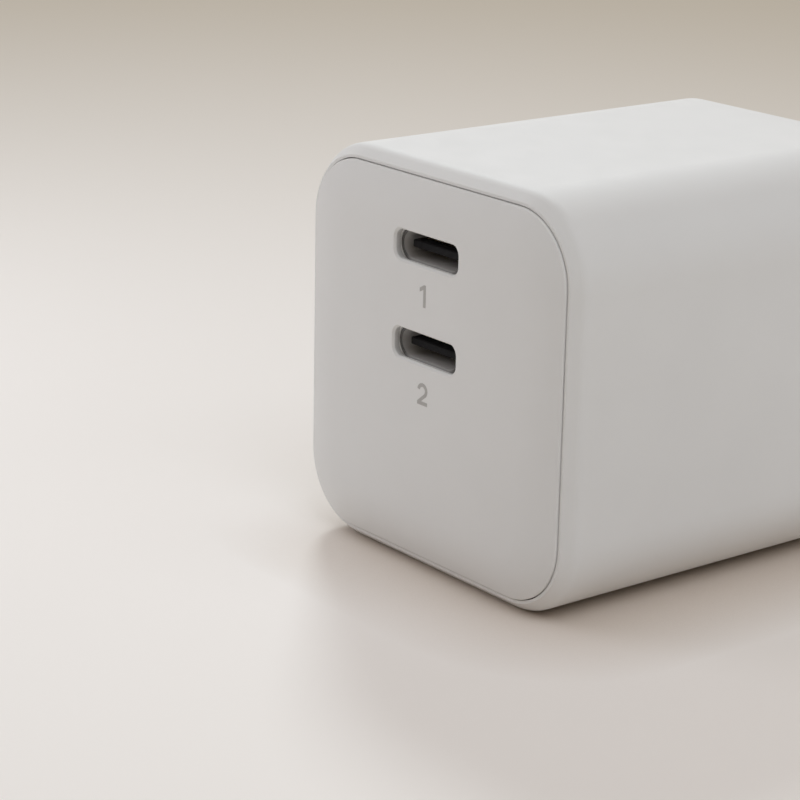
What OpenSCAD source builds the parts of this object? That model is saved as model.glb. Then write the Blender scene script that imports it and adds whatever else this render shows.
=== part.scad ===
// Two-port wall charger with a folding two-blade plug
// X runs across the port panel, +Y runs from the ports to the plug, Z is up.
// The origin is the middle of the footprint, on the surface that the charger stands on.

/* [Housing] */
// Width of the body
body_w = 39; // [35:0.5:46]
// Height of the body
body_h = 39; // [35:0.5:46]
// Length of the sleeve, from rim to rim
body_l = 45.65; // [41:0.05:54]
// Radius of the four long edges
corner_r = 7.8; // [6.8:0.1:9]
// Wall of the sleeve
wall = 1.9; // [1.6:0.1:2.3]
// How far each rim's bevel runs in from the side, which is also the inset of the seams
bevel_in = 1.25; // [0.9:0.05:1.5]
// How far each rim's bevel runs along the side
bevel_back = 1.15; // [1:0.05:1.8]
// Radius that blends the bevel into the side
bevel_blend_r = 1.4; // [0.6:0.1:1.8]
// Flat land between the seam and the bevel
rim_land = 0.28; // [0.12:0.02:0.4]

/* [Port panel] */
// How far the panel's face stands in front of the rim
face_proud = 1.15; // [1.1:0.05:1.6]
// Width of the pillowed shoulder round the face
shoulder_w = 4.5; // [3:0.1:4.9]
// Drop of that shoulder from the face to its edge
shoulder_drop = 0.95; // [0.5:0.05:1.05]
// Radius on the panel's outer edge
panel_edge_r = 0.2; // [0.1:0.05:0.35]
// Depth of the panel's rim inside the sleeve
panel_seat = 1.8; // [1.4:0.1:2.4]
// Wall behind the panel's face
panel_wall = 1.6; // [1.3:0.1:1.9]
// Width of the panel's rim, out to the seam
panel_rim = 2.6; // [2:0.1:3.2]
// Open gap at a seam
seam_gap = 0.1; // [0.06:0.01:0.2]

/* [Ports] */
// Width of a port's mouth in the panel
mouth_w = 9.1; // [9:0.05:9.6]
// Height of a port's mouth in the panel
mouth_h = 2.82; // [2.8:0.02:3.1]
// Corner radius of a port's mouth
mouth_r = 0.95; // [0.6:0.05:1.3]
// Bevel round a port's mouth
mouth_bevel = 0.2; // [0.1:0.05:0.4]
// Thickness of the panel at a port's mouth
mouth_wall = 0.55; // [0.45:0.05:0.9]
// Height of the ports' middle above the middle of the panel
port_rise = 7.15; // [5:0.05:7.5]
// Distance between the two ports
port_pitch = 9.3; // [8:0.1:10]
// Inside width of a receptacle
usb_w = 8.34; // [8.34:0.01:8.4]
// Inside height of a receptacle
usb_h = 2.56; // [2.56:0.01:2.6]
// Sheet of a receptacle's shell
usb_sheet = 0.3; // [0.2:0.05:0.35]
// Length of a receptacle, from its mouth to the port board
usb_l = 7.4; // [7:0.1:8]
// Width of a receptacle's tongue
tongue_w = 6.69; // [6.4:0.01:6.8]
// Thickness of a receptacle's tongue
tongue_t = 0.7; // [0.6:0.05:0.8]
// How far the tongue's tip lies behind the receptacle's mouth
tongue_back = 0.5; // [0.4:0.1:1.5]
// Length of the tongue in front of its root
tongue_l = 4.4; // [4:0.1:4.6]

/* [Plug] */
// Thickness of a blade
blade_t = 1.5; // [1.4:0.05:1.65]
// Width of a blade
blade_w = 6.35; // [6.2:0.05:6.5]
// How far an open blade stands out of the rear face
blade_out = 17; // [15.9:0.1:17.5]
// Distance between the two blades
blade_pitch = 12.7; // [12.6:0.1:12.8]
// Diameter of the hole in a blade
blade_hole_d = 3.2; // [3:0.05:3.3]
// Distance from the rear face to that hole on an open blade
blade_hole_out = 11.7; // [11.4:0.1:11.9]
// Height of the hinge axis above the base
hinge_z = 27.5; // [26.5:0.1:28]
// Half of the rocker's thickness across its flats
barrel_half = 3; // [2.7:0.05:3.1]
// Radius that the rocker's corners are turned to
barrel_r = 3.8; // [3.5:0.05:3.9]
// Radius of the rocker's trunnions
trunnion_r = 1.3; // [1:0.05:1.5]
// Length of a trunnion
trunnion_l = 1.6; // [1.2:0.1:2]
// Radial clearance of the trunnions in their bearings
bearing_gap = 0.05; // [0.02:0.01:0.1]
// Clearance round the blades and the barrel
plug_gap = 0.3; // [0.25:0.05:0.4]
// How far the folded blades lie below the rear face
blade_sunk = 0.3; // [0.2:0.05:0.5]
// How far a blade's tail reaches inwards from the hinge axis
tail_l = 4.2; // [4:0.05:4.3]
// Width of a blade's neck inside the barrel
neck_w = 3.6; // [3:0.1:3.8]

/* [Rear cover] */
// Thickness of the cover's plate
cover_t = 2.2; // [1.9:0.1:2.6]
// Wall of the bay that holds the plug
bay_wall = 1.1; // [0.9:0.1:1.3]
// Half width of the finger scoop across the folded blades
scoop_w = 11; // [9.5:0.5:12]
// Depth of the finger scoop
scoop_d = 1; // [0.6:0.1:1.2]
// Radius of the finger scoop's curve
scoop_r = 9; // [7:0.5:12]

/* [Boards] */
// Thickness of the main board and the port board
board_t = 1.2; // [1:0.1:1.4]
// Height of the main board's underside above the base
board_z = 4.2; // [4:0.1:4.4]
// Distance from the port board's sides to the body's sides
port_board_in = 7; // [6.5:0.1:9]
// Height of the port board's top above the middle of the upper port
port_board_up = 2.8; // [2.2:0.1:3]
// How far the main board runs in front of the port board
board_lip = 2; // [1:0.1:2.2]
// Thickness of the control board
control_t = 1; // [0.8:0.1:1.2]
// Height of the control board
control_h = 20; // [16:0.5:24]
// Depth of the rails' grooves
groove_d = 0.8; // [0.6:0.1:1]
// Thickness of a rail above and below its groove
rail_t = 1; // [0.8:0.1:1.2]

/* [Transformer] */
// Thickness of the core's top and bottom plates
core_plate = 3; // [2.5:0.1:3.5]
// Thickness of the core's outer legs
core_leg = 2; // [1.6:0.1:2.4]
// Share of the winding's radius that the core's middle leg takes
core_mid_share = 0.4; // [0.32:0.01:0.5]
// Wall of the bobbin
bobbin_wall = 0.7; // [0.5:0.1:0.9]

/* [Components] */
// Room between the tallest components and the insulation sheet
head_room = 2.8; // [2.2:0.1:4]
// Diameter of an output capacitor
out_cap_d = 6.3; // [5.8:0.1:6.8]
// Height of an output capacitor
out_cap_h = 9; // [7:0.5:10]
// Height of the output inductor
inductor_h = 5; // [4:0.1:6]
// Thickness of the varistor's and the thermistor's discs
varistor_t = 3; // [2.4:0.1:3.4]
// Diameter of the Y capacitor's disc
y_cap_d = 4; // [3.6:0.1:4.2]
// Thickness of the Y capacitor's disc
y_cap_t = 2.2; // [1.8:0.1:2.4]
// Thickness of the X capacitor
x_cap_t = 4; // [3.6:0.1:4.3]
// Height of the X capacitor
x_cap_h = 9; // [8:0.1:12]
// How much wider the wound choke is than a bulk capacitor
choke_over = 1.6; // [0.8:0.1:2.2]
// Thickness of the choke's ring
choke_t = 3; // [2.4:0.1:3.2]
// Diameter of the choke's wire
choke_wire_d = 0.6; // [0.5:0.05:0.7]
// Diameter of the fuse
fuse_d = 4; // [3.4:0.1:4.2]
// Height of the fuse
fuse_h = 7; // [6:0.1:9]
// Thickness of the bridge rectifier
bridge_t = 2.2; // [1.8:0.1:2.6]
// Width of the bridge rectifier
bridge_w = 9; // [8:0.1:9.6]
// Height of the bridge rectifier
bridge_h = 7; // [6:0.1:8]
// Side of the switch chip
switch_w = 6; // [5:0.1:8]
// Side of a port controller chip
controller_w = 4; // [3:0.1:5]
// Width of a rectifier chip
rectifier_w = 4.4; // [3.6:0.1:5]
// Length of a rectifier chip
rectifier_l = 5; // [4:0.1:6]
// Thickness of a chip
chip_t = 0.8; // [0.6:0.05:0.9]
// Diameter of a component's lead
lead_d = 0.6; // [0.5:0.05:0.7]
// Least room left between neighbouring components
part_gap = 0.5; // [0.3:0.05:0.6]
// Thickness of a contact spring
spring_t = 0.3; // [0.25:0.05:0.4]
// Width of a contact spring
spring_w = 3; // [2.4:0.1:3.4]

/* [Heat and insulation] */
// Thickness of the heat spreader
spreader_t = 0.4; // [0.3:0.05:0.5]
// Thickness of the insulation sheet
film_t = 0.25; // [0.2:0.05:0.3]
// Air left between the sleeve, the spreader and the sheet
layer_gap = 0.1; // [0.05:0.01:0.15]

/* [Hidden] */
$fn = 64;

// Colours
housing_white = [0.86, 0.85, 0.84];
steel_grey = [0.62, 0.61, 0.6];
insulator_black = [0.07, 0.07, 0.07];
contact_gold = [0.86, 0.69, 0.36];
blade_nickel = [0.78, 0.76, 0.72];
board_green = [0.1, 0.3, 0.17];
ferrite_grey = [0.2, 0.2, 0.21];
tape_yellow = [0.88, 0.72, 0.2];
copper_red = [0.72, 0.42, 0.26];
disc_blue = [0.16, 0.32, 0.62];
box_yellow = [0.86, 0.76, 0.36];

// How far a cutter runs past the face that it opens
over = 1;

// Lengthwise places, from the port panel back
overall_l = body_l + face_proud;
y_face = -overall_l / 2;
y_rim = y_face + face_proud;
y_rear = y_rim + body_l;
y_panel_back = y_rim + panel_seat;
y_cover = y_rear - cover_t;

// Sleeve and seams
seam_r = corner_r - bevel_in;
seam_w = body_w - 2 * bevel_in;
seam_h = body_h - 2 * bevel_in;
inset_w = seam_w - 2 * seam_gap;
inset_h = seam_h - 2 * seam_gap;
inset_r = seam_r - seam_gap;
in_w = body_w - 2 * wall;
in_r = corner_r - wall;
mid_z = body_h / 2;
skirt_l = 2;
skirt_t = 1;
skirt_gap = 0.1;

// Ports
port_zs = [mid_z + port_rise - port_pitch / 2, mid_z + port_rise + port_pitch / 2];
mouth_gap = 0.2;
y_mouth = y_face + mouth_wall + mouth_gap;
y_port_board = y_mouth + usb_l;
usb_out_w = usb_w + 2 * usb_sheet;
usb_out_h = usb_h + 2 * usb_sheet;
pocket_gap = 0.1;
boss_wall = 1.1;
boss_l = 1.6;
tongue_tip_y = y_mouth + tongue_back;
tongue_tip_bevel = 0.08;
root_t = 1.4;
root_l = 0.8;
contact_count = 12;
contact_pitch = 0.5;
contact_w = 0.25;
contact_t = 0.1;
contact_back = 1.2;
tab_x = 2.8;
tab_w = 1;
tab_out = 0.5;
fit_gap = 0.05;

// Plug
hinge_y = y_rear - blade_sunk - blade_w / 2;
blade_l = y_rear - hinge_y + blade_out;
blade_tip_r = norm([blade_l, blade_w / 2]);
blade_tip_bevel = 1;
blade_shoulder = barrel_r + 0.15;
tail_sweep_r = tail_l + plug_gap;
slot_w = blade_t + 2 * plug_gap;
slot_bottom_z = hinge_z - blade_tip_r - plug_gap;
y_slot = hinge_y - blade_w / 2 - plug_gap;
y_bay = y_slot - bay_wall;
barrel_side = 1.6;
barrel_end_gap = 0.2;
barrel_hl = blade_pitch / 2 + blade_t / 2 + barrel_side;
pocket_hl = barrel_hl + barrel_end_gap;
pocket_r = barrel_r + plug_gap;
window_half = barrel_half + plug_gap;
bay_hl = pocket_hl + trunnion_l;
scoop_z = slot_bottom_z + blade_w / 2 + plug_gap;

// Boards and rails
function inner_x(z) = in_w / 2 - in_r + sqrt(pow(in_r, 2) - pow(max(0, wall + in_r - z), 2));
board_top = board_z + board_t;
board_hw = inner_x(board_z) - 0.25;
board_front_y = y_port_board - board_lip;
board_rear_y = y_bay - 0.3;
rail_x = board_hw - groove_d;
rail_top = board_top + rail_t;
part_hw = rail_x - part_gap / 2;
lead_out = 0.6;

// Contact springs
spring_gap = 0.25;
spring_y = y_bay - spring_gap - spring_t;
spring_bump_y = hinge_y - tail_l - 0.1;
spring_bump_half = 2.2;
spring_end = 1.8;
spring_top_z = hinge_z + spring_bump_half + spring_end;
window_gap = 0.3;

// Room for the components: rows from the port board back, columns from the left
choke_l = choke_t + 2 * choke_wire_d;
y_parts = y_port_board + board_t + chip_t + part_gap;
row_l = spring_y - part_gap - y_parts;
row_w = 2 * part_hw;
bulk_d = (row_l - choke_l - bridge_t - 3 * part_gap) / 2;
left_w = row_w - bulk_d - part_gap;
inductor_w = left_w - 2 * out_cap_d - 2 * part_gap;
trafo_w = left_w - control_t - chip_t - part_gap;
trafo_l = row_l - out_cap_d - varistor_t - x_cap_t - 3 * part_gap;
winding_gap = 0.3;
winding_r = min(trafo_w / 2 - core_leg - winding_gap, trafo_l / 2);
core_mid_r = winding_r * core_mid_share;
choke_out_d = bulk_d + choke_over;
choke_d = choke_out_d - 2 * choke_wire_d;
line_w = row_w - choke_out_d - part_gap;
disc_d = (line_w - part_gap) / 2;
x_cap_w = line_w - fuse_d - y_cap_t - 2 * part_gap;

// Rows
y_trafo = y_parts + out_cap_d + part_gap;
y_discs = y_trafo + trafo_l + part_gap;
y_line = y_discs + varistor_t + part_gap;

// Columns
x_left = -part_hw;
trafo_x = x_left + trafo_w / 2;
trafo_y = y_trafo + trafo_l / 2;
control_x = x_left + trafo_w + part_gap + chip_t;
bulk_x = part_hw - bulk_d / 2;
bulk_ys = [y_parts + bulk_d / 2, y_parts + 1.5 * bulk_d + part_gap];
out_cap_y = y_parts + out_cap_d / 2;
out_cap_xs = [x_left + out_cap_d / 2, x_left + 1.5 * out_cap_d + part_gap];
inductor_x = x_left + 2 * out_cap_d + 2 * part_gap + inductor_w / 2;
varistor_x = x_left + disc_d / 2;
disc_y = y_discs + varistor_t / 2;
thermistor_x = x_left + 1.5 * disc_d + part_gap;
x_cap_x = x_left + x_cap_w / 2;
x_cap_y = y_line + x_cap_t / 2;
fuse_x = x_left + x_cap_w + part_gap + fuse_d / 2;
fuse_y = y_line + fuse_d / 2;
y_cap_x = fuse_x + fuse_d / 2 + part_gap + y_cap_t / 2;
y_cap_y = y_line + y_cap_d / 2;
choke_x = part_hw - choke_out_d / 2;
choke_y = bulk_ys[1] + bulk_d / 2 + part_gap + choke_l / 2;
choke_z = board_top + choke_out_d / 2;
choke_turns = 7;
choke_step = 16;
choke_end = (choke_turns - 1) / 2 * choke_step;
choke_end_r = choke_d / 2 - choke_wire_d / 2;
bridge_x = part_hw - bridge_w / 2;
bridge_y = choke_y + choke_l / 2 + part_gap + bridge_t / 2;

// Lead pitches
cap_pitch = 2.5;
bulk_pitch = 5;
disc_pitch = 5;
small_pitch = 2.5;
bridge_pitch = 2;
lead_up = 1.5;
pin_inset = 0.5;
trafo_pins = [for (side = [-1, 1], n = [-1:1])
    [trafo_x + n * winding_r * 2 / 3, trafo_y + side * (trafo_l / 2 - pin_inset)]];
bulk_leads = [for (y = bulk_ys, side = [-1, 1]) [bulk_x, y + side * bulk_pitch / 2]];
out_cap_leads = [for (x = out_cap_xs, side = [-1, 1]) [x + side * cap_pitch / 2, out_cap_y]];
inductor_leads = [for (side = [-1, 1]) [inductor_x + side * (inductor_w / 2 - lead_d), out_cap_y]];
varistor_leads = [for (side = [-1, 1]) [varistor_x + side * disc_pitch / 2, disc_y]];
thermistor_leads = [for (side = [-1, 1]) [thermistor_x + side * disc_pitch / 2, disc_y]];
x_cap_leads = [for (side = [-1, 1]) [x_cap_x + side * (x_cap_w / 2 - 1.5), x_cap_y]];
y_cap_leads = [for (side = [-1, 1]) [y_cap_x, y_cap_y + side * small_pitch / 2]];
fuse_leads = [for (side = [-1, 1]) [fuse_x, fuse_y + side * small_pitch / 2]];
choke_leads = [for (side = [-1, 1], end = [-1, 1])
    [choke_x + side * choke_end_r * cos(choke_end), choke_y + end * (choke_t + choke_wire_d) / 2]];
bridge_leads = [for (n = [-1.5, -0.5, 0.5, 1.5]) [bridge_x + n * bridge_pitch, bridge_y]];
all_leads = concat(trafo_pins, bulk_leads, out_cap_leads, inductor_leads, varistor_leads, thermistor_leads,
    x_cap_leads, y_cap_leads, fuse_leads, choke_leads, bridge_leads);

// Layers against the sleeve's ceiling
spreader_in = wall + layer_gap;
film_in = spreader_in + spreader_t + layer_gap;
film_under_z = body_h - film_in - film_t;
layer_front_y = y_panel_back + skirt_l + part_gap;
layer_rear_y = y_bay - part_gap;

// Heights under that ceiling, and the port board's width
trafo_h = film_under_z - head_room - board_top;
bulk_h = trafo_h;
port_board_h = port_zs[1] + port_board_up - board_top;
port_board_w = body_w - 2 * port_board_in;

// Extrudes a section drawn in X and Z along Y
module along_y(y0, y1) {
    translate([0, y1, 0]) rotate([90, 0, 0]) linear_extrude(y1 - y0) children();
}

// Extrudes a section drawn in Y and Z along X, centred on x
module along_x(x, w) {
    translate([x - w / 2, 0, 0]) rotate([90, 0, 90]) linear_extrude(w) children();
}

// Rounded rectangle with true arcs, centred
module rounded(w, h, r) {
    square([w, h - 2 * r], center = true);
    square([w - 2 * r, h], center = true);
    for (x = [-1, 1], y = [-1, 1]) {
        translate([x * (w / 2 - r), y * (h / 2 - r)]) circle(r);
    }
}

// Rounded rectangle inset from the body's outline by a distance, in X and Z
module body_outline(inset) {
    translate([0, mid_z]) rounded(body_w - 2 * inset, body_h - 2 * inset, corner_r - inset);
}

// Slot shape with round ends, centred
module stadium(w, h) {
    square([w - h, h], center = true);
    for (x = [-1, 1]) translate([x * (w - h) / 2, 0]) circle(h / 2);
}

// Sweeps a section round a rounded rectangle that is centred on the Y axis.
// The section's x runs out from the corner's centre and its y runs along Y.
module around(w, h, r) {
    for (turn = [0, 90, 180, 270]) {
        across = turn % 180 == 0 ? w : h;
        side = (turn % 180 == 0 ? h : w) - 2 * r;
        rotate([0, turn, 0]) translate([across / 2 - r, 0, 0]) {
            if (side > 0.001) translate([0, 0, -side / 2]) linear_extrude(side) children();
            translate([0, 0, side / 2]) rotate([-90, -90, 0]) rotate_extrude(angle = 90) children();
        }
    }
}

// What a blend of radius r leaves over at a corner, drawn past the faces that meet there
module blend_waste(centre, r, from, corner, to) {
    difference() {
        polygon([centre, 2 * from - centre, 2 * corner - centre, 2 * to - centre]);
        translate(centre) circle(r);
    }
}

// Box from one corner to the other
module block(low, high) {
    translate(low) cube(high - low);
}

// Section of the sleeve's wall, with both rims
module sleeve_section() {
    turn = atan2(bevel_in - rim_land, bevel_back);
    reach = bevel_blend_r * tan(turn / 2);
    blend = [corner_r - bevel_blend_r, bevel_back + reach];
    edge = [corner_r - reach * sin(turn), bevel_back - reach * cos(turn)];
    difference() {
        polygon([[seam_r, 0], [seam_r + rim_land, 0], [corner_r, bevel_back],
            [corner_r, body_l - bevel_back], [seam_r + rim_land, body_l], [seam_r, body_l],
            [seam_r, body_l - cover_t], [in_r, body_l - cover_t], [in_r, panel_seat],
            [seam_r, panel_seat]]);
        for (rear = [0, 1]) translate([0, rear * body_l]) mirror([0, rear]) {
            blend_waste(blend, bevel_blend_r, edge, [corner_r, bevel_back], [corner_r, blend[1]]);
        }
    }
}

module board_rails() {
    intersection() {
        along_y(board_front_y, board_rear_y) body_outline(wall / 2);
        for (side = [-1, 1]) scale([side, 1, 1]) {
            block([rail_x, board_front_y - over, board_z - rail_t],
                [body_w / 2, board_rear_y + over, rail_top]);
        }
    }
}

module body_shell() {
    color(housing_white) difference() {
        union() {
            translate([0, y_rim, mid_z]) around(body_w, body_h, corner_r) sleeve_section();
            board_rails();
        }
        block([-board_hw - fit_gap, board_front_y - over, board_z - fit_gap],
            [board_hw + fit_gap, board_rear_y + over, board_top + fit_gap]);
    }
}

// Section of the panel's pillowed edge: y = 0 is the face
module panel_section() {
    start = inset_r - shoulder_w;
    big_r = (pow(shoulder_w, 2) + pow(shoulder_drop, 2)) / (2 * shoulder_drop);
    blend_x = inset_r - panel_edge_r;
    blend_y = big_r - sqrt(pow(big_r - panel_edge_r, 2) - pow(blend_x - start, 2));
    blend = [blend_x, blend_y];
    from = [start, big_r] + (blend - [start, big_r]) * big_r / (big_r - panel_edge_r);
    difference() {
        intersection() {
            square([inset_r, face_proud + panel_seat]);
            union() {
                square([start, face_proud + panel_seat]);
                translate([start, big_r]) circle(big_r, $fn = 256);
            }
        }
        blend_waste(blend, panel_edge_r, from, [inset_r, from[1]], [inset_r, blend_y]);
    }
}

module port_mouth() {
    along_y(y_face - over, y_mouth) rounded(mouth_w, mouth_h, mouth_r);
    translate([0, y_face, 0]) around(mouth_w, mouth_h, mouth_r) {
        polygon([[mouth_r - over / 2, -over], [mouth_r + mouth_bevel + over, -over],
            [mouth_r, mouth_bevel], [mouth_r - over / 2, mouth_bevel]]);
    }
    along_y(y_face + mouth_wall, y_face + panel_wall + boss_l + over) {
        stadium(usb_out_w + 2 * pocket_gap, usb_out_h + 2 * pocket_gap);
    }
}

module front_panel() {
    hollow_w = inset_w - 2 * panel_rim;
    hollow_h = inset_h - 2 * panel_rim;
    boss_w = usb_out_w + 2 * boss_wall;
    boss_h = usb_out_h + 2 * boss_wall;
    color(housing_white) difference() {
        union() {
            difference() {
                translate([0, y_face, mid_z]) {
                    around(inset_w, inset_h, inset_r) panel_section();
                    translate([-inset_w / 2 + inset_r, 0, -inset_h / 2 + inset_r]) {
                        cube([inset_w - 2 * inset_r, face_proud + panel_seat, inset_h - 2 * inset_r]);
                    }
                }
                along_y(y_face + panel_wall, y_panel_back + over) {
                    translate([0, mid_z]) rounded(hollow_w, hollow_h, inset_r - panel_rim);
                }
            }
            for (z = port_zs) along_y(y_face + panel_wall / 2, y_face + panel_wall + boss_l) {
                translate([0, z]) stadium(boss_w, boss_h);
            }
            along_y(y_panel_back - skirt_t, y_panel_back + skirt_l) skirt();
        }
        for (z = port_zs) translate([0, 0, z]) port_mouth();
    }
}

// Ring that centres a cover inside the sleeve
module skirt() {
    difference() {
        body_outline(wall + skirt_gap);
        body_outline(wall + skirt_gap + skirt_t);
    }
}

module usb_shell(z) {
    color(steel_grey) translate([0, y_mouth, z]) difference() {
        union() {
            along_y(0, usb_l) stadium(usb_out_w, usb_out_h);
            for (x = [-1, 1], up = [-1, 1]) translate([x * tab_x, 0, up * (usb_out_h - usb_sheet) / 2]) {
                block([-tab_w / 2, usb_l - over, -usb_sheet / 2],
                    [tab_w / 2, usb_l + board_t + tab_out, usb_sheet / 2]);
            }
        }
        along_y(-over, usb_l + over) stadium(usb_w, usb_h);
    }
}

module contact_bars(z, grow) {
    for (n = [0:contact_count - 1], side = [-1, 1]) {
        x = (n - (contact_count - 1) / 2) * contact_pitch;
        translate([x, 0, z + side * (tongue_t - contact_t) / 2]) {
            block([-contact_w / 2, tongue_tip_y + contact_back, -contact_t / 2],
                [contact_w / 2, y_port_board + grow, contact_t / 2]);
        }
    }
}

module usb_tongue(z) {
    y_root = tongue_tip_y + tongue_l;
    y_base = y_root + root_l;
    color(insulator_black) difference() {
        union() {
            along_x(0, tongue_w) translate([0, z]) polygon([
                [tongue_tip_y, -tongue_t / 2 + tongue_tip_bevel],
                [tongue_tip_y, tongue_t / 2 - tongue_tip_bevel],
                [tongue_tip_y + tongue_tip_bevel, tongue_t / 2],
                [y_base + over / 2, tongue_t / 2],
                [y_base + over / 2, -tongue_t / 2],
                [tongue_tip_y + tongue_tip_bevel, -tongue_t / 2]]);
            block([-tongue_w / 2, y_root, z - root_t / 2], [tongue_w / 2, y_base + over / 2, z + root_t / 2]);
            along_y(y_base, y_port_board) translate([0, z]) {
                stadium(usb_w - 2 * fit_gap, usb_h - 2 * fit_gap);
            }
        }
        contact_bars(z, over);
    }
}

module usb_contacts(z) {
    color(contact_gold) contact_bars(z, 0);
}

module port_board() {
    color(board_green) difference() {
        block([-port_board_w / 2, y_port_board, board_top],
            [port_board_w / 2, y_port_board + board_t, board_top + port_board_h]);
        for (z = port_zs, x = [-1, 1], up = [-1, 1]) {
            translate([x * tab_x, 0, z + up * (usb_out_h - usb_sheet) / 2]) {
                block([-tab_w / 2 - fit_gap, y_port_board - over, -usb_sheet / 2 - fit_gap],
                    [tab_w / 2 + fit_gap, y_port_board + board_t + over, usb_sheet / 2 + fit_gap]);
            }
        }
    }
}

module port_controllers() {
    half = controller_w / 2;
    color(insulator_black) for (side = [-1, 1]) {
        translate([side * port_board_w / 4, y_port_board + board_t, board_top + port_board_h / 2]) {
            block([-half, 0, -half], [half, chip_t, half]);
        }
    }
}

module main_board() {
    color(board_green) difference() {
        block([-board_hw, board_front_y, board_z], [board_hw, board_rear_y, board_top]);
        for (p = all_leads) translate([p[0], p[1], board_z - over]) {
            cylinder(d = lead_d + 2 * fit_gap, h = board_t + 2 * over, $fn = 24);
        }
        for (side = [-1, 1]) translate([side * blade_pitch / 2, spring_y, board_z]) {
            block([-spring_w / 2 - fit_gap, -fit_gap, -over],
                [spring_w / 2 + fit_gap, spring_t + fit_gap, board_t + over]);
        }
    }
}

// Leads from a component's underside at height z down through the main board
module leads(points, z) {
    for (p = points) translate([p[0], p[1], board_z - lead_out]) {
        cylinder(d = lead_d, h = z - board_z + lead_out, $fn = 24);
    }
}

module control_board() {
    color(board_green) block([control_x, y_trafo, board_top],
        [control_x + control_t, y_trafo + trafo_l, board_top + control_h]);
}

module gan_switch() {
    color(insulator_black) translate([control_x, trafo_y, board_top + control_h / 2]) {
        block([-chip_t, -switch_w / 2, -switch_w / 2], [0, switch_w / 2, switch_w / 2]);
    }
}

module sync_rectifiers() {
    color(insulator_black) for (n = [0, 1]) {
        translate([pad_x0 + pad_w * (0.25 + 0.5 * n), trafo_y, board_z]) {
            block([-rectifier_w / 2, -rectifier_l / 2, -chip_t], [rectifier_w / 2, rectifier_l / 2, 0]);
        }
    }
}

module fuse() {
    color(insulator_black) {
        translate([fuse_x, fuse_y, board_top]) cylinder(d = fuse_d, h = fuse_h);
        leads(fuse_leads, board_top);
    }
}

// Dipped disc component with its axis along Y, standing on two leads
module disc_part(x, y, d, t, points) {
    crown = t / 4;
    translate([x, y, board_top + lead_up + d / 2]) rotate([90, 0, 0]) rotate_extrude() {
        difference() {
            translate([0, -t / 2]) square([d / 2, t]);
            for (face = [0, 1]) mirror([0, face]) {
                polygon([[d / 2 - crown, t / 2 + over], [d / 2 - crown, t / 2], [d / 2, t / 2 - crown],
                    [d / 2 + over, t / 2 - crown], [d / 2 + over, t / 2 + over]]);
            }
        }
    }
    leads(points, board_top + lead_up + d / 2);
}

module varistor() {
    color(disc_blue) disc_part(varistor_x, disc_y, disc_d, varistor_t, varistor_leads);
}

module thermistor() {
    color(insulator_black) disc_part(thermistor_x, disc_y, disc_d, varistor_t, thermistor_leads);
}

module y_capacitor() {
    color(disc_blue) translate([y_cap_x, y_cap_y, 0]) rotate([0, 0, 90]) {
        disc_part(0, 0, y_cap_d, y_cap_t, [for (side = [-1, 1]) [side * small_pitch / 2, 0]]);
    }
}

module x_capacitor() {
    color(box_yellow) {
        block([x_cap_x - x_cap_w / 2, x_cap_y - x_cap_t / 2, board_top],
            [x_cap_x + x_cap_w / 2, x_cap_y + x_cap_t / 2, board_top + x_cap_h]);
        leads(x_cap_leads, board_top);
    }
}

module choke_core() {
    color(ferrite_grey) translate([choke_x, choke_y, choke_z]) rotate([90, 0, 0]) {
        difference() {
            cylinder(d = choke_d, h = choke_t, center = true);
            cylinder(d = choke_d / 2, h = choke_t + over, center = true);
        }
    }
}

// One turn of wire round the ring, drawn as a flat square loop
module choke_turn() {
    ring_t = choke_d / 4 + 2 * fit_gap;
    translate([choke_d * 3 / 8, 0, 0]) difference() {
        cube([ring_t + 2 * choke_wire_d, choke_t + 2 * choke_wire_d, choke_wire_d], center = true);
        cube([ring_t, choke_t + 2 * fit_gap, choke_wire_d + over], center = true);
    }
}

module choke_windings() {
    color(copper_red) {
        translate([choke_x, choke_y, choke_z]) for (side = [0, 180], n = [0:choke_turns - 1]) {
            rotate([0, side - choke_end + n * choke_step, 0]) choke_turn();
        }
        leads(choke_leads, choke_z - choke_end_r * sin(choke_end));
    }
}

module bridge_rectifier() {
    color(insulator_black) {
        block([bridge_x - bridge_w / 2, bridge_y - bridge_t / 2, board_top + lead_up],
            [bridge_x + bridge_w / 2, bridge_y + bridge_t / 2, board_top + lead_up + bridge_h]);
        leads(bridge_leads, board_top + lead_up);
    }
}

// Electrolytic can with its crimp and its rolled top
module can(d, h) {
    crimp = d * 0.05;
    crimp_z = d * 0.3;
    roll = d * 0.06;
    rotate_extrude() difference() {
        square([d / 2, h]);
        translate([d / 2 + crimp, crimp_z]) circle(2 * crimp);
        translate([0, h - roll]) square([d / 2 - 2 * roll, over]);
        polygon([[d / 2 - roll, h + over], [d / 2 - roll, h], [d / 2, h - roll], [d / 2 + over, h - roll],
            [d / 2 + over, h + over]]);
    }
}

module bulk_capacitor(n) {
    color(insulator_black) {
        translate([bulk_x, bulk_ys[n], board_top]) can(bulk_d, bulk_h);
        leads([bulk_leads[2 * n], bulk_leads[2 * n + 1]], board_top);
    }
}

module output_capacitors() {
    color(steel_grey) {
        for (x = out_cap_xs) translate([x, out_cap_y, board_top]) can(out_cap_d, out_cap_h);
        leads(out_cap_leads, board_top);
    }
}

module output_inductor() {
    color(ferrite_grey) {
        block([inductor_x - inductor_w / 2, out_cap_y - inductor_w / 2, board_top],
            [inductor_x + inductor_w / 2, out_cap_y + inductor_w / 2, board_top + inductor_h]);
        leads(inductor_leads, board_top);
    }
}

// Transformer: the core stands just off the board and the bobbin's feet carry it
core_z = board_top + 0.3;
core_h = trafo_h - 0.3;
core_l = trafo_l - 2 * pin_inset - lead_d - 2 * fit_gap;
window_z = core_z + core_plate;
window_h = core_h - 2 * core_plate;
bobbin_r = core_mid_r + fit_gap + bobbin_wall;

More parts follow.
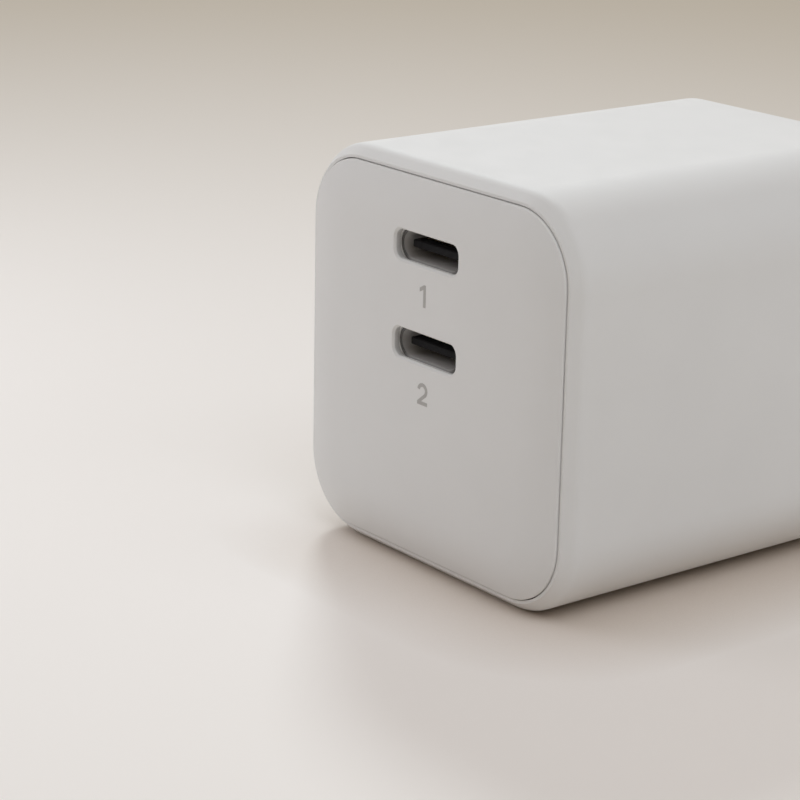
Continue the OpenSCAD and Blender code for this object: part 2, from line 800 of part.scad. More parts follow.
module transformer_core() {
    color(ferrite_grey) for (upper = [0, 1]) {
        translate([trafo_x, trafo_y, core_z + core_h / 2]) mirror([0, 0, upper]) {
            block([-trafo_w / 2, -core_l / 2, -core_h / 2],
                [trafo_w / 2, core_l / 2, core_plate - core_h / 2]);
            for (side = [-1, 1]) translate([side * (trafo_w - core_leg) / 2, 0, 0]) {
                block([-core_leg / 2, -core_l / 2, -core_h / 2], [core_leg / 2, core_l / 2, 0]);
            }
            translate([0, 0, -core_h / 2]) cylinder(r = core_mid_r, h = core_h / 2);
        }
    }
}

module transformer_bobbin() {
    flange_w = 2 * winding_r;
    color(insulator_black) translate([trafo_x, trafo_y, 0]) difference() {
        union() {
            translate([0, 0, window_z + fit_gap]) cylinder(r = bobbin_r, h = window_h - 2 * fit_gap);
            for (z = [window_z + fit_gap, window_z + window_h - fit_gap - bobbin_wall]) {
                block([-flange_w / 2, -trafo_l / 2, z], [flange_w / 2, trafo_l / 2, z + bobbin_wall]);
            }
            for (side = [-1, 1]) translate([0, side * (trafo_l + core_l + 2 * fit_gap) / 4, 0]) {
                foot = (trafo_l - core_l - 2 * fit_gap) / 4;
                block([-flange_w / 2, -foot, board_top], [flange_w / 2, foot, window_z + bobbin_wall]);
            }
            translate([-trafo_x, -trafo_y, 0]) leads(trafo_pins, board_top + over);
        }
        translate([0, 0, window_z - over]) cylinder(r = core_mid_r + fit_gap, h = window_h + 2 * over);
    }
}

module transformer_winding() {
    z0 = window_z + fit_gap + bobbin_wall;
    h = window_h - 2 * fit_gap - 2 * bobbin_wall;
    color(tape_yellow) translate([trafo_x, trafo_y, z0]) difference() {
        cylinder(r = winding_r, h = h);
        translate([0, 0, -over]) cylinder(r = bobbin_r, h = h + 2 * over);
    }
}

// Bent sheet that follows the sleeve's walls and ceiling, down to the rails
module lining(inset, t) {
    difference() {
        body_outline(inset);
        body_outline(inset + t);
        translate([-body_w, 0]) square([2 * body_w, rail_top + layer_gap]);
    }
}

module heat_spreader() {
    color(copper_red) along_y(layer_front_y, layer_rear_y) lining(spreader_in, spreader_t);
}

module insulation_sheet() {
    color(tape_yellow) along_y(layer_front_y, layer_rear_y) lining(film_in, film_t);
}

// The pads lie where the sleeve's floor and ceiling are flat
pad_x0 = max(x_left, corner_r - body_w / 2) + 0.2;
pad_w = trafo_x + trafo_w / 2 - pad_x0;

module thermal_pad_top() {
    color(steel_grey) block([pad_x0, trafo_y - core_l / 2, board_top + trafo_h],
        [pad_x0 + pad_w, trafo_y + core_l / 2, film_under_z]);
}

module thermal_pad_bottom() {
    color(steel_grey) block([pad_x0, trafo_y - trafo_l / 4, wall],
        [pad_x0 + pad_w, trafo_y + trafo_l / 4, board_z - chip_t]);
}

module contact_spring(side) {
    y1 = spring_y + spring_t;
    low = board_z - lead_out;
    color(contact_gold) along_x(side * blade_pitch / 2, spring_w) polygon([
        [spring_y, low], [y1, low], [y1, hinge_z - spring_bump_half], [spring_bump_y, hinge_z],
        [y1, hinge_z + spring_bump_half], [y1, spring_top_z], [spring_y, spring_top_z],
        [spring_y, hinge_z + spring_bump_half], [spring_bump_y - spring_t, hinge_z],
        [spring_y, hinge_z - spring_bump_half]]);
}

// Everything that moves with the plug is drawn folded: the blades point down
module plug_rocker() {
    color(housing_white) translate([0, hinge_y, hinge_z]) difference() {
        union() {
            along_x(0, 2 * barrel_hl) intersection() {
                square(2 * barrel_half, center = true);
                circle(barrel_r);
            }
            rotate([0, 90, 0]) cylinder(r = trunnion_r, h = 2 * (barrel_hl + trunnion_l), center = true);
        }
        for (side = [-1, 1]) translate([side * blade_pitch / 2, 0, 0]) {
            cube([blade_t, neck_w, 4 * barrel_r], center = true);
        }
    }
}

module blade(side) {
    half = blade_w / 2;
    neck = neck_w / 2;
    hole_s = y_rear - hinge_y + blade_hole_out;
    color(blade_nickel) translate([0, hinge_y, hinge_z]) difference() {
        along_x(side * blade_pitch / 2, blade_t) intersection() {
            polygon([[-neck, tail_l], [neck, tail_l], [neck, -blade_shoulder], [half, -blade_shoulder],
                [half, blade_tip_bevel - blade_l], [half - blade_tip_bevel, -blade_l],
                [blade_tip_bevel - half, -blade_l], [-half, blade_tip_bevel - blade_l],
                [-half, -blade_shoulder], [-neck, -blade_shoulder]]);
            union() {
                circle(tail_l);
                translate([-blade_w, -blade_l - over]) square([2 * blade_w, blade_l + over]);
            }
        }
        translate([side * blade_pitch / 2, 0, -hole_s]) rotate([0, 90, 0]) {
            cylinder(d = blade_hole_d, h = blade_t + over, center = true);
        }
    }
}

// Room for a blade and its tail, over their whole swing
module blade_slot() {
    block([-slot_w / 2, y_slot, slot_bottom_z], [slot_w / 2, y_rear + over, hinge_z]);
    translate([0, hinge_y, hinge_z]) rotate([0, 90, 0]) {
        cylinder(r = tail_sweep_r, h = slot_w, center = true);
    }
    block([-slot_w / 2, hinge_y, hinge_z], [slot_w / 2, y_rear + over, hinge_z + blade_w / 2 + plug_gap]);
    block([-spring_w / 2 - window_gap, y_bay - over, hinge_z - spring_bump_half - window_gap],
        [spring_w / 2 + window_gap, hinge_y, hinge_z + spring_bump_half + window_gap]);
}

module blade_casing() {
    half = slot_w / 2 + bay_wall;
    block([-half, y_bay, slot_bottom_z - bay_wall],
        [half, y_rear - cover_t / 2, hinge_z + tail_sweep_r + bay_wall]);
}

module rear_cover() {
    plate_edge = 0.3;
    color(housing_white) difference() {
        union() {
            translate([0, y_cover, mid_z]) {
                around(inset_w, inset_h, inset_r) polygon([[0, 0], [inset_r, 0],
                    [inset_r, cover_t - plate_edge], [inset_r - plate_edge, cover_t], [0, cover_t]]);
                translate([-inset_w / 2 + inset_r, 0, -inset_h / 2 + inset_r]) {
                    cube([inset_w - 2 * inset_r, cover_t, inset_h - 2 * inset_r]);
                }
            }
            along_y(y_cover - skirt_l, y_cover + skirt_t) skirt();
            for (side = [-1, 1]) translate([side * blade_pitch / 2, 0, 0]) blade_casing();
            block([-bay_hl, y_bay, hinge_z - pocket_r - bay_wall],
                [bay_hl, y_rear - cover_t / 2, hinge_z + pocket_r + bay_wall]);
        }
        for (side = [-1, 1]) translate([side * blade_pitch / 2, 0, 0]) blade_slot();
        translate([0, hinge_y, hinge_z]) {
            rotate([0, 90, 0]) cylinder(r = pocket_r, h = 2 * pocket_hl, center = true);
            rotate([0, 90, 0]) cylinder(r = trunnion_r + bearing_gap, h = 2 * bay_hl + over, center = true);
            block([-pocket_hl, 0, -window_half], [pocket_hl, blade_w, window_half]);
        }
        translate([0, y_rear + scoop_r - scoop_d, scoop_z]) rotate([0, 90, 0]) {
            cylinder(r = scoop_r, h = 2 * scoop_w, center = true);
        }
    }
}

body_shell();
front_panel();
rear_cover();
plug_rocker();
blade(-1);  // blade_left
blade(1);  // blade_right
contact_spring(-1);  // contact_spring_left
contact_spring(1);  // contact_spring_right
usb_shell(port_zs[1]);  // usb_c1_shell
usb_tongue(port_zs[1]);  // usb_c1_tongue
usb_contacts(port_zs[1]);  // usb_c1_contacts
usb_shell(port_zs[0]);  // usb_c2_shell
usb_tongue(port_zs[0]);  // usb_c2_tongue
usb_contacts(port_zs[0]);  // usb_c2_contacts
port_board();
port_controllers();
main_board();
control_board();
gan_switch();
sync_rectifiers();
fuse();
thermistor();
varistor();
x_capacitor();
y_capacitor();
choke_core();
choke_windings();
bridge_rectifier();
bulk_capacitor(0);  // bulk_capacitor_1
bulk_capacitor(1);  // bulk_capacitor_2
transformer_core();
transformer_bobbin();
transformer_winding();
output_capacitors();
output_inductor();
heat_spreader();
insulation_sheet();
thermal_pad_top();
thermal_pad_bottom();
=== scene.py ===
import math

import bpy
from mathutils import Matrix, Vector


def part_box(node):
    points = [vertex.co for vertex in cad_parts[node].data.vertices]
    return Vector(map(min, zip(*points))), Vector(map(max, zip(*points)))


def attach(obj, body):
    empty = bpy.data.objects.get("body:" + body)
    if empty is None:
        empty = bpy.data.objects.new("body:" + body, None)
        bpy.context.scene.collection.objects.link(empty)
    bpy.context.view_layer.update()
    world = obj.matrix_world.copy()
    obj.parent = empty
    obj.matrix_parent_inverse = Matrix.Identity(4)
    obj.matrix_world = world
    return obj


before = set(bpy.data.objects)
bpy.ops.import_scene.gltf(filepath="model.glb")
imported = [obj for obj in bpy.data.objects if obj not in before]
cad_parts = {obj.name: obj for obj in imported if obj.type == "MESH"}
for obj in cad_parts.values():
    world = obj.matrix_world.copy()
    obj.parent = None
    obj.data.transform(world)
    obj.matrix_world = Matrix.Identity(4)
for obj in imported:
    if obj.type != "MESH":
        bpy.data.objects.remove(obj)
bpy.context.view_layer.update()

MM = 0.001

# Camera: where it stands, how far it turns from the port panel's axis, its lens, and the nearest and furthest
# distance that it sees, in metres
CAMERA_PLACE = Vector((178.90, -166.22, 87.76)) * MM
CAMERA_YAW = math.radians(51.91)
CAMERA_PITCH = math.radians(17.13)
CAMERA_ROLL = math.radians(1.14)
FOCAL_PIXELS = 2596.0
IMAGE_PIXELS = 800
SENSOR = 36.0
CLIP_NEAR = 0.005
CLIP_FAR = 20

# Numerals printed under the ports, in millimetres: both are centred NUMERAL_DROP below their port
NUMERAL_H = 2.1
NUMERAL_STROKE = 0.33
NUMERAL_THICK = 0.02
NUMERAL_DROP = 4.2

# Numeral one: how far its flag reaches and falls, how far its top goes left of the middle, and how thick the
# flag is at its end and at its root
FLAG_REACH = 0.525
FLAG_FALL = 0.336
TOP_LEFT = 0.3 * NUMERAL_STROKE
FLAG_END = 1.05 * NUMERAL_STROKE
FLAG_ROOT = 1.3 * NUMERAL_STROKE

# Numeral two: the bowl's middle radius and its arc, and where the slanting stroke's two edges meet the foot
BOWL_R = 0.56
BOWL_START = math.radians(170)
BOWL_TURN = math.radians(210)
BOWL_STEPS = 20
SLANT_ALONG_FOOT = 1.5 * NUMERAL_STROKE
SLANT_ABOVE_FOOT = 0.9 * NUMERAL_STROKE

# Textures: the usual span of the noise, its detail, a stretch that is the same every way, and the number of
# samples that look for what shuts a surface in
NOISE_LOW = 0.3
NOISE_HIGH = 0.7
NOISE_DETAIL = 3.0
EVEN = (1, 1, 1)
OCCLUSION_SAMPLES = 8

# Moulded plastic: its colour and gloss, how much its tone and roughness vary and over what patches, and its
# grain, with patches and grain in millimetres
WHITE = (0.80, 0.795, 0.783)
PLASTIC_SPECULAR = 0.3
PLASTIC_TONE = 0.01
PLASTIC_TONE_PATCH = 9
PLASTIC_ROUGH = 0.04
PLASTIC_ROUGH_PATCH = 3
PLASTIC_GRAIN = 0.09
PLASTIC_GRAIN_DEPTH = 0.004

# Metal: its darkest tone as a share of its colour, how much smoother and rougher it gets, the depth of its
# grain in millimetres, and how its patches of tone and its bump compare with the grain
METAL_DULL = 0.93
METAL_SMOOTHER = 0.06
METAL_ROUGHER = 0.08
METAL_DEPTH = 0.002
METAL_PATCH = 4
METAL_BUMP = 1 / 2

# Matt surfaces: how much the roughness varies, and how patches and bump compare with the grain
MATT_ROUGH = 0.08
MATT_PATCH = 3
MATT_BUMP = 1 / 3

# Ports, in millimetres: how far the painted shade on the mouths' walls reaches, how deep the painted shade on
# the shell's front edge goes, and between which distances from the middle that edge sets in; the tints paint
# both shades
MOUTH_REACH = 1.0
MOUTH_SHADE_TINT = (0.27, 0.26, 0.25)
SHELL_EDGE = 0.05
SHELL_ENDS = (2.9, 3.7)
SHELL_EDGE_SHADE_TINT = (0.2, 0.2, 0.2)

# Floor, in metres: half its width, its middle, where a painted pool of light is palest, and its two tones,
# the pool's and the painted dimmer floor further out, with the distances from there at which they hold
FLOOR_HALF = 4.0
FLOOR_MIDDLE = (-0.04, -0.05, 0)
FLOOR_NEAR = (0.93, 0.884, 0.842)
FLOOR_FAR = (0.575, 0.506, 0.413)
FLOOR_NEAR_R = 0.03
FLOOR_FAR_R = 0.45
FLOOR_ROUGH = 0.9
FLOOR_SPECULAR = 0.1

# Contact shade: the painted shadow's tint that the floor takes close to the object, its reach in millimetres,
# and its lean
CONTACT_SHADOW_TINT = (0.635, 0.555, 0.475)
CONTACT_REACH = 12.5
CONTACT_LEAN = (-0.75, 0.45, 0.48)

# Sky: the colour and level of the light from the horizon and from overhead, then of what shows in gloss
SKY = (1.0, 0.928, 0.852)
SKY_HORIZON = 0.0
SKY_ZENITH = 0.615
BACKDROP = (1.0, 0.82, 0.68)
BACKDROP_HORIZON = 0.62
BACKDROP_ZENITH = 0.93

# Lamps: round areas that all point at the origin, with places and sizes in metres and power in watts
LAMPS = {
    "key": {
        "place": (-1.787, 1.205, 1.625),
        "size": 0.55,
        "power": 26.9,
        "colour": (0.865, 0.95, 1.0),
    },
    "over_right": {
        "place": (0.75, -0.30, 1.20),
        "size": 0.8,
        "power": 3.82,
        "colour": (0.817, 0.89, 1.0),
    },
    "fill_left": {
        "place": (-0.16, -0.13, 0.08),
        "size": 0.12,
        "power": 0.0855,
        "colour": (0.868, 0.905, 1.0),
    },
    "near_right": {
        "place": (0.15, 0.02, 0.14),
        "size": 0.12,
        "power": 0.047,
        "colour": (0.87, 0.93, 1.0),
    },
}


def look_from(place, yaw, pitch, roll):
    """World matrix of a camera that looks along +Y at yaw 0 and downwards by pitch."""
    back = Vector((math.sin(yaw) * math.cos(pitch), -math.cos(yaw) * math.cos(pitch), math.sin(pitch)))
    level = Vector((0, 0, 1)).cross(back).normalized()
    upright = back.cross(level)
    side = math.cos(roll) * level + math.sin(roll) * upright
    up = math.cos(roll) * upright - math.sin(roll) * level
    turn = Matrix((side, up, back)).transposed()
    return Matrix.Translation(place) @ turn.to_4x4()


def make_camera():
    data = bpy.data.cameras.new("camera")
    data.sensor_width = SENSOR
    data.lens = SENSOR * FOCAL_PIXELS / IMAGE_PIXELS
    data.clip_start = CLIP_NEAR
    data.clip_end = CLIP_FAR
    camera = bpy.data.objects.new("camera", data)
    camera.matrix_world = look_from(CAMERA_PLACE, CAMERA_YAW, CAMERA_PITCH, CAMERA_ROLL)
    bpy.context.scene.collection.objects.link(camera)
    bpy.context.scene.camera = camera


def opaque(colour):
    return (*colour, 1)


def shade(colour, factor):
    return tuple(c * factor for c in colour)


class Nodes:
    """A node tree, with one short call for each node that is added to it."""

    def __init__(self, tree):
        self.tree = tree

    def feed(self, node, name, value):
        """Give a node's input a value, which is a number, a colour, a vector or another node's output."""
        if isinstance(value, bpy.types.NodeSocket):
            self.tree.links.new(value, node.inputs[name])
        else:
            node.inputs[name].default_value = value

    def add(self, kind, inputs=None, **settings):
        """Add a node with these settings and inputs, and return its outputs."""
        node = self.tree.nodes.new(kind)
        for name, value in settings.items():
            setattr(node, name, value)
        for name, value in (inputs or {}).items():
            self.feed(node, name, value)
        return node.outputs

    def maths(self, operation, first, second):
        return self.add("ShaderNodeMath", {0: first, 1: second}, operation=operation)["Value"]


class Finish(Nodes):
    """A material, with calls that add procedural textures in the object's own space to it."""

    def __init__(self, name, metallic=0.0, specular=0.5):
        self.name = name
        self.material = bpy.data.materials.new(name)
        self.material.use_nodes = True
        super().__init__(self.material.node_tree)
        self.shader = self.tree.nodes["Principled BSDF"]
        self.feed(self.shader, "Metallic", metallic)
        self.feed(self.shader, "Specular IOR Level", specular)
        self.place = self.add("ShaderNodeTexCoord")["Object"]

    def noise(self, size, stretch):
        """Noise whose features are about size millimetres across, and longer where stretch is under 1."""
        place = self.add("ShaderNodeMapping", {"Vector": self.place, "Scale": stretch})["Vector"]
        grain = {"Vector": place, "Scale": 1 / (size * MM), "Detail": NOISE_DETAIL}
        return self.add("ShaderNodeTexNoise", grain)["Fac"]

    def between(self, low, high, size, stretch):
        """A number that wanders from low to high with the noise."""
        span = {
            "Value": self.noise(size, stretch),
            "From Min": NOISE_LOW,
            "From Max": NOISE_HIGH,
            "To Min": low,
            "To Max": high,
        }
        return self.add("ShaderNodeMapRange", span)["Result"]

    def mix(self, first, second, factor, blend="MIX"):
        """The first colour where factor is 0, and blended with the second where it is 1."""
        inputs = {"A": first, "B": second, "Factor": factor}
        return self.add("ShaderNodeMix", inputs, data_type="RGBA", blend_type=blend)["Result"]

    def paint(self, colour):
        """Make another node's output the base colour."""
        self.base = colour
        self.feed(self.shader, "Base Color", colour)
        return self

    def colour(self, first, second, size, stretch=EVEN):
        return self.paint(self.mix(opaque(first), opaque(second), self.between(0, 1, size, stretch)))

    def paint_shade(self, factor, tint):
        """Paint shade: multiply the base colour by tint where factor is 1, and leave it where factor is 0."""
        return self.paint(self.mix(self.base, opaque(tint), factor, "MULTIPLY"))

    def roughness(self, low, high, size, stretch=EVEN):
        self.feed(self.shader, "Roughness", self.between(low, high, size, stretch))
        return self

    def bump(self, height, size, stretch=EVEN):
        """Bump of about height millimetres."""
        relief = {"Strength": 1, "Distance": height * MM, "Height": self.noise(size, stretch)}
        self.feed(self.shader, "Normal", self.add("ShaderNodeBump", relief)["Normal"])
        return self

    def axis(self, name):
        return self.add("ShaderNodeSeparateXYZ", {"Vector": self.place})[name]

    def ahead(self, y):
        """1 in front of y, which is in metres, and 0 behind it."""
        return self.maths("LESS_THAN", self.axis("Y"), y)

    def aside(self, start, end):
        """0 within start millimetres of the middle plane, rising to 1 at end."""
        distance = self.maths("ABSOLUTE", self.axis("X"), 0)
        span = {"Value": distance, "From Min": start * MM, "From Max": end * MM}
        return self.add("ShaderNodeMapRange", span)["Result"]

    def shut_in(self, reach, lean=None):
        """From 0 in the open to 1 where the surface is shut in by what lies within reach millimetres; the
        painted shade in the port mouths and the floor's painted contact shadow follow it.
        """
        around = {"Distance": reach * MM}
        if lean:
            around["Normal"] = self.add("ShaderNodeCombineXYZ", dict(enumerate(lean)))["Vector"]
        found = self.add("ShaderNodeAmbientOcclusion", around, samples=OCCLUSION_SAMPLES)
        return self.maths("SUBTRACT", 1, found["AO"])


def moulded(name, colour, rough=0.65):
    """Plastic with a fine spark-eroded grain."""
    finish = Finish(name, specular=PLASTIC_SPECULAR)
    finish.colour(shade(colour, 1 - PLASTIC_TONE), shade(colour, 1 + PLASTIC_TONE), PLASTIC_TONE_PATCH)
    finish.roughness(rough - PLASTIC_ROUGH, rough + PLASTIC_ROUGH, PLASTIC_ROUGH_PATCH)
    return finish.bump(PLASTIC_GRAIN_DEPTH, PLASTIC_GRAIN)


def metal(name, colour, rough, grain, stretch):
    """Drawn or rolled metal, whose grain is long in the direction where stretch is small."""
    finish = Finish(name, metallic=1.0)
    finish.colour(shade(colour, METAL_DULL), colour, grain * METAL_PATCH, stretch)
    finish.roughness(rough - METAL_SMOOTHER, rough + METAL_ROUGHER, grain, stretch)
    return finish.bump(METAL_DEPTH, grain * METAL_BUMP, stretch)


def matt(name, colour, grain, depth, rough, tone=0.08, specular=0.5):
    """Any surface without a metal's gloss or the housing's grain; its colour varies by the share tone."""
    finish = Finish(name, specular=specular)
    finish.colour(shade(colour, 1 - tone), shade(colour, 1 + tone), grain * MATT_PATCH)
    finish.roughness(rough - MATT_ROUGH, rough + MATT_ROUGH, grain)
    return finish.bump(depth, grain * MATT_BUMP)


def port_front():
    """Where the receptacles' shells begin, along Y."""
    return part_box("usb_c1_shell")[0].y


def panel_plastic_with_painted_shade(name, colour):
    """Moulded plastic with painted shade on the walls of the port mouths."""
    finish = moulded(name, colour)
    # Painted shade: the walls of the port mouths are tinted darker where they are shut in
    painted_shade_in_mouth = finish.maths("MULTIPLY", finish.shut_in(MOUTH_REACH), finish.ahead(port_front()))
    return finish.paint_shade(painted_shade_in_mouth, MOUTH_SHADE_TINT)


def steel_with_painted_shade(name, colour):
    """Dull steel whose front edge carries painted shade, dark round the two ends of the opening."""
    finish = matt(name, colour, grain=0.4, depth=0.002, rough=0.5, tone=0.04)
    # Painted shade: the shell's front edge is tinted dark round the two ends of the opening
    shaded_front_edge = finish.ahead(port_front() + SHELL_EDGE * MM)
    return finish.paint_shade(finish.maths("MULTIPLY", shaded_front_edge, finish.aside(*SHELL_ENDS)), SHELL_EDGE_SHADE_TINT)


FINISHES = {
    finish.name: finish.material
    for finish in (
        moulded("housing", WHITE),
        panel_plastic_with_painted_shade("panel", WHITE),
        moulded("rear_plastic", WHITE),
        moulded("rocker", shade(WHITE, 0.97), rough=0.55),
        metal("blade", (0.72, 0.70, 0.66), rough=0.28, grain=0.5, stretch=(1, 1, 0.1)),
        metal("bronze", (0.78, 0.55, 0.30), rough=0.32, grain=0.5, stretch=(1, 1, 0.15)),
        steel_with_painted_shade("steel", (0.50, 0.487, 0.475)),
        matt("tongue", (0.006, 0.006, 0.007), grain=0.4, depth=0.003, rough=0.7, specular=0.15),
        metal("gold", (0.86, 0.62, 0.28), rough=0.25, grain=0.2, stretch=(1, 0.2, 1)),
        matt("board", (0.02, 0.13, 0.06), grain=0.8, depth=0.01, rough=0.4, tone=0.15),
        matt("chip", (0.025, 0.025, 0.028), grain=0.25, depth=0.006, rough=0.62),
        matt("disc", (0.06, 0.16, 0.42), grain=0.9, depth=0.03, rough=0.35),
        matt("thermistor", (0.03, 0.035, 0.03), grain=0.8, depth=0.03, rough=0.45),
        matt("box", (0.78, 0.60, 0.12), grain=0.7, depth=0.006, rough=0.4),
        matt("ferrite", (0.045, 0.045, 0.05), grain=0.25, depth=0.02, rough=0.7),
        metal("copper", (0.80, 0.36, 0.18), rough=0.3, grain=0.5, stretch=(1, 1, 0.3)),
        matt("sleeve", (0.02, 0.025, 0.05), grain=1.2, depth=0.006, rough=0.3),
        metal("can", (0.80, 0.80, 0.81), rough=0.3, grain=0.5, stretch=(1, 1, 0.2)),
        matt("bobbin", (0.02, 0.02, 0.02), grain=0.6, depth=0.006, rough=0.5),
        matt("tape", (0.86, 0.62, 0.08), grain=1.4, depth=0.008, rough=0.3, tone=0.04),
        matt("film", (0.82, 0.52, 0.10), grain=2.5, depth=0.01, rough=0.25, tone=0.05),
        metal("spreader", (0.76, 0.42, 0.26), rough=0.34, grain=0.8, stretch=(1, 0.1, 1)),
        matt("pad", (0.42, 0.46, 0.52), grain=0.5, depth=0.02, rough=0.8, tone=0.1),
        matt("ink", (0.44, 0.425, 0.41), grain=0.5, depth=0.002, rough=0.5, tone=0.03),
    )
}

NODE_FINISH = {
    "body_shell": "housing",
    "front_panel": "panel",
    "rear_cover": "rear_plastic",
    "plug_rocker": "rocker",
    "blade_left": "blade",
    "blade_right": "blade",
    "contact_spring_left": "bronze",
    "contact_spring_right": "bronze",
    "usb_c1_shell": "steel",
    "usb_c2_shell": "steel",
    "usb_c1_tongue": "tongue",
    "usb_c2_tongue": "tongue",
    "usb_c1_contacts": "gold",
    "usb_c2_contacts": "gold",
    "port_board": "board",
    "main_board": "board",
    "control_board": "board",
    "port_controllers": "chip",
    "gan_switch": "chip",
    "sync_rectifiers": "chip",
    "bridge_rectifier": "chip",
    "fuse": "chip",
    "thermistor": "thermistor",
    "varistor": "disc",
    "y_capacitor": "disc",
    "x_capacitor": "box",
    "choke_core": "ferrite",
    "choke_windings": "copper",
    "bulk_capacitor_1": "sleeve",
    "bulk_capacitor_2": "sleeve",
    "transformer_core": "ferrite",
    "transformer_bobbin": "bobbin",
    "transformer_winding": "tape",
    "output_capacitors": "can",
    "output_inductor": "ferrite",
    "heat_spreader": "spreader",
    "insulation_sheet": "film",
    "thermal_pad_top": "pad",
    "thermal_pad_bottom": "pad",
}


def dress_nodes():
    for name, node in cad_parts.items():
        for slot in node.material_slots:
            slot.material = FINISHES[NODE_FINISH[name]]


def outline_one():
    """Outline of a plain numeral one, with its foot's middle at the origin."""
    half = NUMERAL_STROKE / 2
    flag_top = NUMERAL_H - FLAG_FALL
    return [
        (-half, 0),
        (half, 0),
        (half, NUMERAL_H),
        (-TOP_LEFT, NUMERAL_H),
        (-half - FLAG_REACH, flag_top),
        (-half - FLAG_REACH, flag_top - FLAG_END),
        (-half, NUMERAL_H - FLAG_ROOT),
    ]


def outline_two():
    """Outline of a plain numeral two: a bowl, a slanting stroke and a foot."""
    outer = BOWL_R + NUMERAL_STROKE / 2
    inner = BOWL_R - NUMERAL_STROKE / 2
    middle = NUMERAL_H - outer
    angles = [BOWL_START - BOWL_TURN * step / BOWL_STEPS for step in range(BOWL_STEPS + 1)]
    bowl = [(outer * math.cos(a), middle + outer * math.sin(a)) for a in angles]
    back = [(inner * math.cos(a), middle + inner * math.sin(a)) for a in reversed(angles)]
    foot = [
        (-outer + SLANT_ALONG_FOOT, NUMERAL_STROKE),
        (outer, NUMERAL_STROKE),
        (outer, 0),
        (-outer, 0),
        (-outer, SLANT_ABOVE_FOOT),
    ]
    return bowl + foot + back


def flat_mesh(name, outline):
    """The outline as a thin slab about the XY plane, centred on half the numerals' height."""
    curve = bpy.data.curves.new(name, "CURVE")
    curve.dimensions = "2D"
    curve.fill_mode = "BOTH"
    curve.extrude = NUMERAL_THICK * MM / 2
    spline = curve.splines.new("POLY")
    spline.points.add(len(outline) - 1)
    for point, (x, y) in zip(spline.points, outline):
        point.co = (x * MM, (y - NUMERAL_H / 2) * MM, 0, 1)
    spline.use_cyclic_u = True
    drawn = bpy.data.objects.new(name + "_curve", curve)
    mesh = bpy.data.meshes.new_from_object(drawn)
    bpy.data.objects.remove(drawn)
    return mesh


def print_numeral(name, outline, middle_z):
    """A thin printed numeral on the panel's face, centred on x = 0."""
    mesh = flat_mesh(name, outline)
    face_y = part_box("front_panel")[0].y
    upright = Matrix.Rotation(math.pi / 2, 4, "X")
    mesh.transform(Matrix.Translation((0, face_y - NUMERAL_THICK * MM / 2, middle_z)) @ upright)
    mesh.materials.clear()
    mesh.materials.append(FINISHES["ink"])
    piece = bpy.data.objects.new(name, mesh)
    bpy.context.scene.collection.objects.link(piece)
    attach(piece, "charger")


def port_middle(node):
    low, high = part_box(node)
    return (low.z + high.z) / 2


def make_numerals():
    for name, outline, port in (
        ("numeral_1", outline_one(), "usb_c1_shell"),
        ("numeral_2", outline_two(), "usb_c2_shell"),
    ):
        print_numeral(name, outline, port_middle(port) - NUMERAL_DROP * MM)


def floor_finish():
    """Pale, with a painted pool of light that dims away from its palest place, and a painted shadow close to
    the object.
    """
    finish = Finish("floor", specular=FLOOR_SPECULAR)
    finish.feed(finish.shader, "Roughness", FLOOR_ROUGH)
    distance = finish.add("ShaderNodeVectorMath", {0: finish.place}, operation="LENGTH")["Value"]
    span = {"Value": distance, "From Min": FLOOR_NEAR_R, "From Max": FLOOR_FAR_R}
    away = finish.add("ShaderNodeMapRange", span, interpolation_type="SMOOTHSTEP")["Result"]
    # Painted pool of light: the floor's tone is palest near its middle and dimmer further out
    finish.paint(finish.mix(opaque(FLOOR_NEAR), opaque(FLOOR_FAR), away))
    # Painted shadow: the floor is tinted darker where the object shuts it in
    return finish.paint_shade(finish.shut_in(CONTACT_REACH, CONTACT_LEAN), CONTACT_SHADOW_TINT)


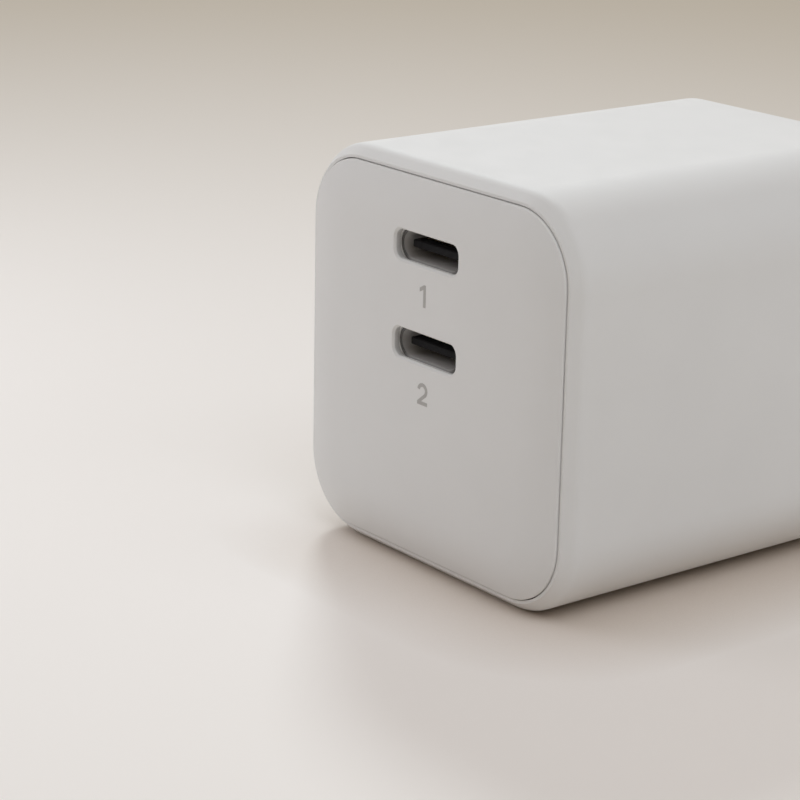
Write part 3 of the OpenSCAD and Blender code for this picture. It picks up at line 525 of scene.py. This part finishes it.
def make_floor():
    """A wide pale floor with painted light that fades away from the object."""
    mesh = bpy.data.meshes.new("floor")
    corners = [(-1, -1), (1, -1), (1, 1), (-1, 1)]
    mesh.from_pydata([(x * FLOOR_HALF, y * FLOOR_HALF, 0) for x, y in corners], [], [(0, 1, 2, 3)])
    mesh.materials.append(floor_finish().material)
    floor = bpy.data.objects.new("floor", mesh)
    floor.location = FLOOR_MIDDLE
    bpy.context.scene.collection.objects.link(floor)


def area_light(name, place, size, power, colour):
    data = bpy.data.lights.new(name, "AREA")
    data.shape = "DISK"
    data.size = size
    data.energy = power
    data.color = colour
    light = bpy.data.objects.new(name, data)
    light.location = place
    light.rotation_euler = Vector(place).to_track_quat("Z", "Y").to_euler()
    bpy.context.scene.collection.objects.link(light)


def sky_shade(nodes, colour, horizon, zenith):
    """A background whose strength goes from the horizon's to the zenith's with height."""
    place = nodes.add("ShaderNodeTexCoord")["Generated"]
    height = nodes.add("ShaderNodeSeparateXYZ", {"Vector": place})["Z"]
    span = {"Value": height, "To Min": horizon, "To Max": zenith}
    strength = nodes.add("ShaderNodeMapRange", span)["Result"]
    return nodes.add("ShaderNodeBackground", {"Color": opaque(colour), "Strength": strength})["Background"]


def make_sky():
    """Soft light from above, and a pale backdrop for what is seen, reflected or seen through glass."""
    world = bpy.data.worlds.new("studio")
    world.use_nodes = True
    bpy.context.scene.world = world
    nodes = Nodes(world.node_tree)
    path = nodes.add("ShaderNodeLightPath")
    seen = path["Is Camera Ray"]
    for kind in ("Is Glossy Ray", "Is Transmission Ray"):
        seen = nodes.maths("MAXIMUM", seen, path[kind])
    light = sky_shade(nodes, SKY, SKY_HORIZON, SKY_ZENITH)
    backdrop = sky_shade(nodes, BACKDROP, BACKDROP_HORIZON, BACKDROP_ZENITH)
    both = nodes.add("ShaderNodeMixShader", {0: seen, 1: light, 2: backdrop})["Shader"]
    nodes.feed(world.node_tree.nodes["World Output"], "Surface", both)


def make_light():
    make_sky()
    for name, lamp in LAMPS.items():
        area_light(name, **lamp)


make_camera()
dress_nodes()
make_numerals()
make_floor()
make_light()
bpy.context.scene.view_settings.view_transform = "Standard"
